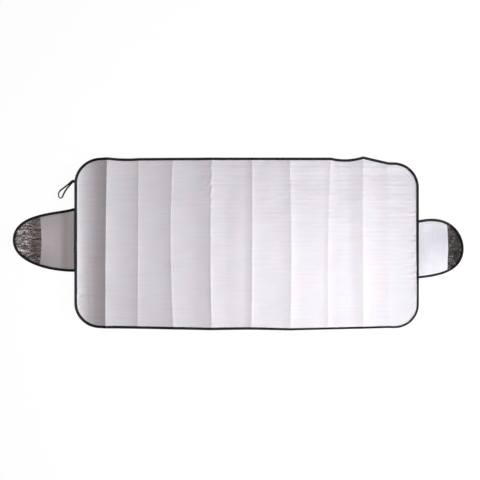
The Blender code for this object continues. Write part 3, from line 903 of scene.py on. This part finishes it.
def make_loop(finish):
    """The braided elastic loop, a little flattened, with both ends in the binding."""
    line = loop_line()
    along = unit(np.gradient(line, axis=0))
    side = unit(np.cross(along, UP))
    up = np.cross(side, along)
    travelled = travelled_along(line)
    angles = 2 * math.pi * np.arange(LOOP_SIDES)[None, :] / LOOP_SIDES
    strands, lay = BRAID_STRANDS / 2 * angles, 2 * math.pi * travelled[:, None] / BRAID_PITCH
    weave = np.maximum(np.cos(strands + lay), np.cos(strands - lay))
    wide = LOOP_DIAMETER / 2 * (1 + BRAID_DEPTH * weave / 2)
    # narrowest where it turns
    turn = np.exp(-(((travelled - LOOP_TURN_SHARE * travelled[-1]) / LOOP_TURN_LENGTH) ** 2))
    flat = 1 + LOOP_FLATTENED * (1 - LOOP_TURN_NARROWED * turn)
    across, over = wide * np.cos(angles) * flat[:, None], wide * np.sin(angles)
    points = line[:, None, :] + side[:, None, :] * across[:, :, None] + up[:, None, :] * over[:, :, None]
    cord = link("elastic_cord", mesh_of("elastic_cord", points, tube(len(line), LOOP_SIDES)), [finish])
    recalculated(cord)
    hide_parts("elastic_loop")
    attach(cord, BODY)
    return cord


class Nodes:
    """A short way to add shader nodes to a material or a world and join them."""

    def __init__(self, owner, kind="Material"):
        self.owner = owner
        owner.use_nodes = True
        self.tree = owner.node_tree
        self.tree.nodes.clear()
        self.output = self.add("Output" + kind).inputs["Surface"]

    def add(self, kind, values=None, **settings):
        node = self.tree.nodes.new("ShaderNode" + kind)
        for key, value in settings.items():
            setattr(node, key, value)
        for key, value in (values or {}).items():
            if isinstance(value, bpy.types.NodeSocket):
                self.tree.links.new(value, node.inputs[key])
            elif node.inputs[key].type == "RGBA":
                node.inputs[key].default_value = (*value, 1.0)
            else:
                node.inputs[key].default_value = value
        return node

    def spot(self, scale, source="Object"):
        """Coordinates in metres times scale."""
        coordinates = self.add("TexCoord").outputs[source]
        return self.add("Mapping", {"Vector": coordinates, "Scale": scale}).outputs["Vector"]

    def noise(self, scale, detail=2.0, rough=0.5, source="Object"):
        spot = self.spot(scale, source)
        values = {"Vector": spot, "Scale": 1.0, "Detail": detail, "Roughness": rough}
        return self.add("TexNoise", values).outputs["Fac"]

    def math(self, operation, a, b=0.0):
        return self.add("Math", {0: a, 1: b}, operation=operation).outputs[0]

    def mixed(self, factor, low, high):
        """A colour from low to high as the factor goes from 0 to 1."""
        return self.add("Mix", {"Factor": factor, 6: low, 7: high}, data_type="RGBA").outputs[2]

    def spread(self, factor, low, high):
        """From low to high over the middle of a noise's range."""
        values = {"Value": factor, "From Min": 0.3, "From Max": 0.7, "To Min": low, "To Max": high}
        return self.add("MapRange", values).outputs["Result"]

    def bump(self, height, distance, strength, under=None):
        values = {"Height": height, "Distance": distance, "Strength": strength}
        return self.add("Bump", values | ({"Normal": under} if under else {})).outputs["Normal"]

    def surface(self, shader):
        self.tree.links.new(shader, self.output)
        return self.owner

    def finish(self, values):
        return self.surface(self.add("BsdfPrincipled", values).outputs[0])


def material_nodes(name):
    return Nodes(bpy.data.materials.new(name))


# Finishes of the film. Scales are lumps per metre along X, Y and Z.
FILM_FIELDS = "name streak cloud streak_share patch pinkish greenish streak_depth fine_depth strength"
Film = namedtuple("Film", FILM_FIELDS)
SHEET_FILM = Film(
    name="pale_film",
    streak=(6.0, 190.0, 40.0),
    cloud=(9.0, 14.0, 9.0),
    streak_share=0.6,
    patch=((13.0, 7.0, 13.0), 3.0, 0.6),
    pinkish=((0.782, 0.732, 0.784), (0.858, 0.810, 0.860)),
    greenish=((0.734, 0.752, 0.790), (0.810, 0.828, 0.868)),
    streak_depth=0.00042,
    fine_depth=0.00010,
    strength=0.8,
)
# The flaps' film is drawn into soft streaks along Y. Its colours carry painted shade, darker than the sheet's
# film, and darkest and greyer on the longer flap
SHADED_LEFT_FILM = Film(
    name="left_flap_film_painted_shade",
    streak=(95.0, 3.5, 30.0),
    cloud=(20.0, 9.0, 9.0),
    streak_share=0.5,
    patch=((40.0, 5.0, 16.0), 2.0, 0.5),
    pinkish=((0.600, 0.530, 0.550), (0.660, 0.590, 0.610)),
    greenish=((0.570, 0.558, 0.575), (0.630, 0.618, 0.635)),
    streak_depth=0.0002,
    fine_depth=0.00006,
    strength=0.7,
)
# painted shade: the shorter flap's copy of the film is a little darker than the sheet's
SHADED_RIGHT_FILM = SHADED_LEFT_FILM._replace(
    name="right_flap_film_painted_shade",
    pinkish=((0.700, 0.675, 0.742), (0.768, 0.742, 0.808)),
    greenish=((0.678, 0.688, 0.742), (0.740, 0.750, 0.806)),
)
FINE_SCALE = (60.0, 900.0, 60.0)
GRAIN_SCALE = (900.0, 1400.0, 900.0)
GRAIN_DEPTH = 0.00004
GRAIN_STRENGTH = 0.6


def film_material(film):
    """Pale pearly film, pressed in fine lines that run along X, with streaks and soft stains of tone."""
    nodes = material_nodes(film.name)
    streak = nodes.noise(film.streak, detail=3.0)
    cloud = nodes.noise(film.cloud, detail=3.0)
    tone = nodes.math("ADD", nodes.math("MULTIPLY", streak, film.streak_share),
                      nodes.math("MULTIPLY", cloud, 1 - film.streak_share))
    tone = nodes.spread(tone, 0.0, 1.0)
    patch = nodes.spread(nodes.noise(*film.patch), 0.0, 1.0)
    colour = nodes.mixed(patch, nodes.mixed(tone, *film.pinkish), nodes.mixed(tone, *film.greenish))
    lines = nodes.bump(streak, film.streak_depth, film.strength)
    lines = nodes.bump(nodes.noise(FINE_SCALE), film.fine_depth, film.strength, lines)
    lines = nodes.bump(nodes.noise(GRAIN_SCALE), GRAIN_DEPTH, GRAIN_STRENGTH, lines)
    return nodes.finish({"Base Color": colour, "Metallic": 0.22, "Roughness": nodes.spread(cloud, 0.42, 0.54),
                         "Normal": lines})


# How bright the foil is, with painted shade: darkest beside the sheet by the pockets' mouths and lighter
# towards the tips, by the distance from the middle, and a painted darker reflection on the shorter flap
FOIL_PAINTED_MOUTH_SHADE = {"From Min": 0.83, "From Max": 0.90, "To Min": 0.03, "To Max": 1.0}
FOIL_PAINTED_RIGHT_DARKNESS = {"From Min": 0.0, "From Max": 0.8, "To Min": 1.0, "To Max": 0.45}
FOIL_COLOURS = ((0.14, 0.12, 0.12), (1.0, 0.97, 0.96))


def foil_material():
    """Aluminised film, crinkled all over and dulled in patches, with painted shade by the pockets' mouths and
    a painted darker reflection on the shorter flap.
    """
    nodes = material_nodes("silver_foil")
    dulled = nodes.noise((26.0, 48.0, 26.0), detail=5.0, rough=0.65)
    specks = nodes.noise((160.0, 230.0, 160.0), detail=3.0, rough=0.6)
    crinkled = nodes.bump(nodes.noise((45.0, 110.0, 45.0), detail=4.0, rough=0.6), 0.0026, 0.6)
    crinkled = nodes.bump(nodes.noise((420.0, 700.0, 420.0), detail=3.0), 0.0003, 0.5, crinkled)
    along = nodes.add("SeparateXYZ", {0: nodes.spot((1.0, 1.0, 1.0))}).outputs[0]
    from_middle = nodes.math("ABSOLUTE", along)
    # painted shade: the foil is darkest by the pockets' mouths and lighter towards the tips
    painted_mouth_shade = nodes.add("MapRange", {"Value": from_middle, **FOIL_PAINTED_MOUTH_SHADE}).outputs["Result"]
    # painted darker reflection: the foil on the right, the shorter flap's, is darker
    painted_right_darkness = nodes.add("MapRange", {"Value": along, **FOIL_PAINTED_RIGHT_DARKNESS}).outputs["Result"]
    tone = nodes.math("MULTIPLY", nodes.spread(dulled, 0.05, 1.35), nodes.spread(specks, 0.30, 1.0))
    tone = nodes.math("MULTIPLY", nodes.math("MULTIPLY", tone, painted_mouth_shade), painted_right_darkness)
    return nodes.finish({"Base Color": nodes.mixed(tone, *FOIL_COLOURS), "Metallic": 1.0,
                         "Roughness": nodes.spread(dulled, 0.34, 0.20), "Normal": crinkled})


def tape_material():
    """Woven polyester tape: fine ribs across it, a coarser slub along it, and a dusty sheen."""
    nodes = material_nodes("black_tape")
    across = nodes.spot((1400.0, 2200.0, 1.0), "UV")
    weave = 1.0
    for way, distortion in (("X", 1.5), ("Y", 1.0)):
        values = {"Vector": across, "Scale": 1.0, "Distortion": distortion, "Detail": 1.0}
        ribs = nodes.add("TexWave", values, wave_type="BANDS", bands_direction=way).outputs["Fac"]
        weave = nodes.math("MULTIPLY", ribs, weave)
    slub = nodes.noise((140.0, 900.0, 1.0), source="UV")
    normal = nodes.bump(weave, 0.00022, 0.9)
    normal = nodes.bump(slub, 0.00012, 0.7, normal)
    colour = nodes.mixed(nodes.math("MULTIPLY", weave, nodes.spread(slub, 0.5, 1.0)),
                        (0.0050, 0.0043, 0.0050), (0.0160, 0.0138, 0.0158))
    return nodes.finish({"Base Color": colour, "Roughness": nodes.spread(slub, 0.62, 0.85), "Normal": normal,
                         "Sheen Weight": 0.04, "Sheen Roughness": 0.5})


Yarn = namedtuple("Yarn", "name scale detail colours rough depth strength sheen")
THREAD = Yarn("black_thread", 2600.0, 1.0, ((0.012, 0.012, 0.014), (0.040, 0.038, 0.042)), (0.38, 0.60),
              0.00006, 0.6, 0.2)
ELASTIC = Yarn("elastic_braid", 3000.0, 2.0, ((0.006, 0.006, 0.007), (0.020, 0.019, 0.021)), (0.5, 0.75),
               0.00010, 0.7, 0.05)


def yarn_material(yarn):
    """Black twisted or braided yarn."""
    nodes = material_nodes(yarn.name)
    fibres = nodes.noise((yarn.scale, yarn.scale, yarn.scale), detail=yarn.detail)
    return nodes.finish({"Base Color": nodes.mixed(fibres, *yarn.colours),
                         "Roughness": nodes.spread(fibres, *yarn.rough),
                         "Normal": nodes.bump(fibres, yarn.depth, yarn.strength), "Sheen Weight": yarn.sheen})


def foam_material():
    """Cut edge of white closed-cell foam."""
    nodes = material_nodes("white_foam")
    cells = nodes.add("TexVoronoi", {"Vector": nodes.spot((1500.0, 1500.0, 1500.0)), "Scale": 1.0})
    height = cells.outputs["Distance"]
    return nodes.finish({"Base Color": nodes.mixed(height, (0.78, 0.77, 0.76), (0.90, 0.89, 0.88)),
                         "Roughness": nodes.spread(height, 0.7, 0.95),
                         "Normal": nodes.bump(height, 0.0002, 0.6)})


WHITE = (1.0, 1.0, 1.0)
# The floor: its half width, how far it lies below zero, its real colour, and the glow and the colour that the
# camera and reflections see together
FLOOR_REACH = 40.0
FLOOR_DROP = 0.0002
FLOOR_COLOUR = (0.80, 0.80, 0.80)
FLOOR_GLOW = 0.935
FLOOR_SHADED = (0.11, 0.11, 0.11)


def make_floor():
    """A white floor: the camera and reflections see it white, and it keeps the cover's soft shadow."""
    corners = FLOOR_REACH * np.array([(-1, -1, 0), (1, -1, 0), (1, 1, 0), (-1, 1, 0)])
    mesh = mesh_of("floor", corners, [(0, 1, 2, 3)])
    nodes = material_nodes("white_floor")
    path = nodes.add("LightPath").outputs
    seen = nodes.math("MAXIMUM", path["Is Camera Ray"], path["Is Glossy Ray"])
    seen = nodes.math("MAXIMUM", seen, path["Is Transmission Ray"])
    plain = nodes.add("BsdfDiffuse", {"Color": FLOOR_COLOUR}).outputs[0]
    shade = nodes.add("BsdfDiffuse", {"Color": FLOOR_SHADED}).outputs[0]
    glow = nodes.add("Emission", {"Color": WHITE, "Strength": FLOOR_GLOW}).outputs[0]
    white = nodes.add("AddShader", {0: glow, 1: shade}).outputs[0]
    surface = nodes.surface(nodes.add("MixShader", {0: seen, 1: plain, 2: white}).outputs[0])
    floor = link("floor", mesh, [surface], smooth=False)
    floor.location.z = -FLOOR_DROP


# Light from the sky by the height of its direction: 0 is the horizon and 1 is straight up. The brighter ring
# gives the folds their soft glints.
SKY = (
    (0.00, (0.100, 0.088, 0.090)),
    (0.60, (0.042, 0.035, 0.036)),
    (0.84, (0.063, 0.053, 0.055)),
    (0.90, (0.210, 0.191, 0.201)),
    (0.96, (0.063, 0.054, 0.056)),
    (1.00, (0.042, 0.036, 0.037)),
)

# Lamps: name, place, point it faces, side lengths, power, colour, and whether gloss mirrors it. The key is
# low on the right and brings out the folds, and the others even out its fall across the cover.
LAMPS = (
    ("key", (4.2, -1.2, 0.78), (0.0, 0.0, 0.0), (1.0, 1.0), 322.0, (0.925, 0.99, 1.0), True),
    ("over_right", (0.85, -0.5, 1.5), (0.85, -0.3, 0.0), (0.9, 0.9), 1.8, (0.86, 1.0, 1.0), False),
    ("over_wide", (0.42, -0.2, 1.4), (0.42, -0.2, 0.0), (0.8, 0.8), 13.0, (1.0, 0.915, 0.955), False),
    ("lower", (0.9, -1.3, 1.3), (0.65, -0.3, 0.0), (0.9, 0.9), 6.5, (0.98, 1.0, 0.87), False),
    ("glint", (-1.00, 0.30, 1.9), (-0.90, 0.0, 0.0), (0.5, 0.4), 3.0, (1.0, 0.92, 0.92), True),
    ("glint_right", (1.05, -0.04, 1.9), (0.83, -0.02, 0.0), (0.22, 0.18), 1.8, (0.97, 1.0, 0.95), True),
)


def make_world():
    """A dim studio with a brighter ring round the camera; the camera itself sees it white."""
    world = bpy.data.worlds.new("studio")
    bpy.context.scene.world = world
    nodes = Nodes(world, "World")
    up = nodes.add("SeparateXYZ", {0: nodes.add("TexCoord").outputs["Generated"]}).outputs["Z"]
    ramp = nodes.add("ValToRGB", {0: up})
    stops = ramp.color_ramp.elements
    stops[0].position, stops[1].position = SKY[0][0], SKY[-1][0]
    for position, _ in SKY[1:-1]:
        stops.new(position)
    for stop, (_, colour) in zip(stops, SKY):
        stop.color = (*colour, 1.0)
    sky = nodes.add("Background", {"Color": ramp.outputs[0]}).outputs[0]
    white = nodes.add("Background", {"Color": WHITE}).outputs[0]
    seen = nodes.add("LightPath").outputs["Is Camera Ray"]
    nodes.surface(nodes.add("MixShader", {0: seen, 1: sky, 2: white}).outputs[0])


def make_lamps():
    for name, spot, target, sides, power, colour, mirrored in LAMPS:
        data = bpy.data.lights.new(name, "AREA")
        data.shape = "RECTANGLE"
        data.size, data.size_y = sides
        data.energy = power
        data.color = colour
        lamp = bpy.data.objects.new(name, data)
        lamp.location = spot
        lamp.visible_glossy = mirrored
        lamp.rotation_euler = (Vector(target) - Vector(spot)).to_track_quat("-Z", "Y").to_euler()
        bpy.context.scene.collection.objects.link(lamp)


def make_camera():
    data = bpy.data.cameras.new("camera")
    data.sensor_fit = "HORIZONTAL"
    data.sensor_width = SENSOR_WIDTH
    data.lens = SENSOR_WIDTH * CAMERA_HEIGHT / VIEW_WIDTH
    camera = bpy.data.objects.new("camera", data)
    camera.location = (SHIFT_X + VIEW_OFFSET[0], SHIFT_Y + VIEW_OFFSET[1], CAMERA_HEIGHT)
    bpy.context.scene.collection.objects.link(camera)
    bpy.context.scene.camera = camera


def main():
    make_camera()
    finishes = {
        "film": film_material(SHEET_FILM),
        "left_flap": film_material(SHADED_LEFT_FILM),
        "right_flap": film_material(SHADED_RIGHT_FILM),
        "foil": foil_material(),
        "tape": tape_material(),
        "thread": yarn_material(THREAD),
        "foam": foam_material(),
        "elastic": yarn_material(ELASTIC),
    }
    make_loop(finishes["elastic"])
    sheet = make_sheet([finishes["film"], finishes["foil"], finishes["foam"]])
    bound = make_binding(finishes)
    for flap in (LEFT_FLAP, RIGHT_FLAP):
        back, front, tape, threads = make_flap(flap, finishes)
    make_floor()
    make_world()
    make_lamps()
    bpy.context.scene.view_settings.view_transform = "Standard"


main()
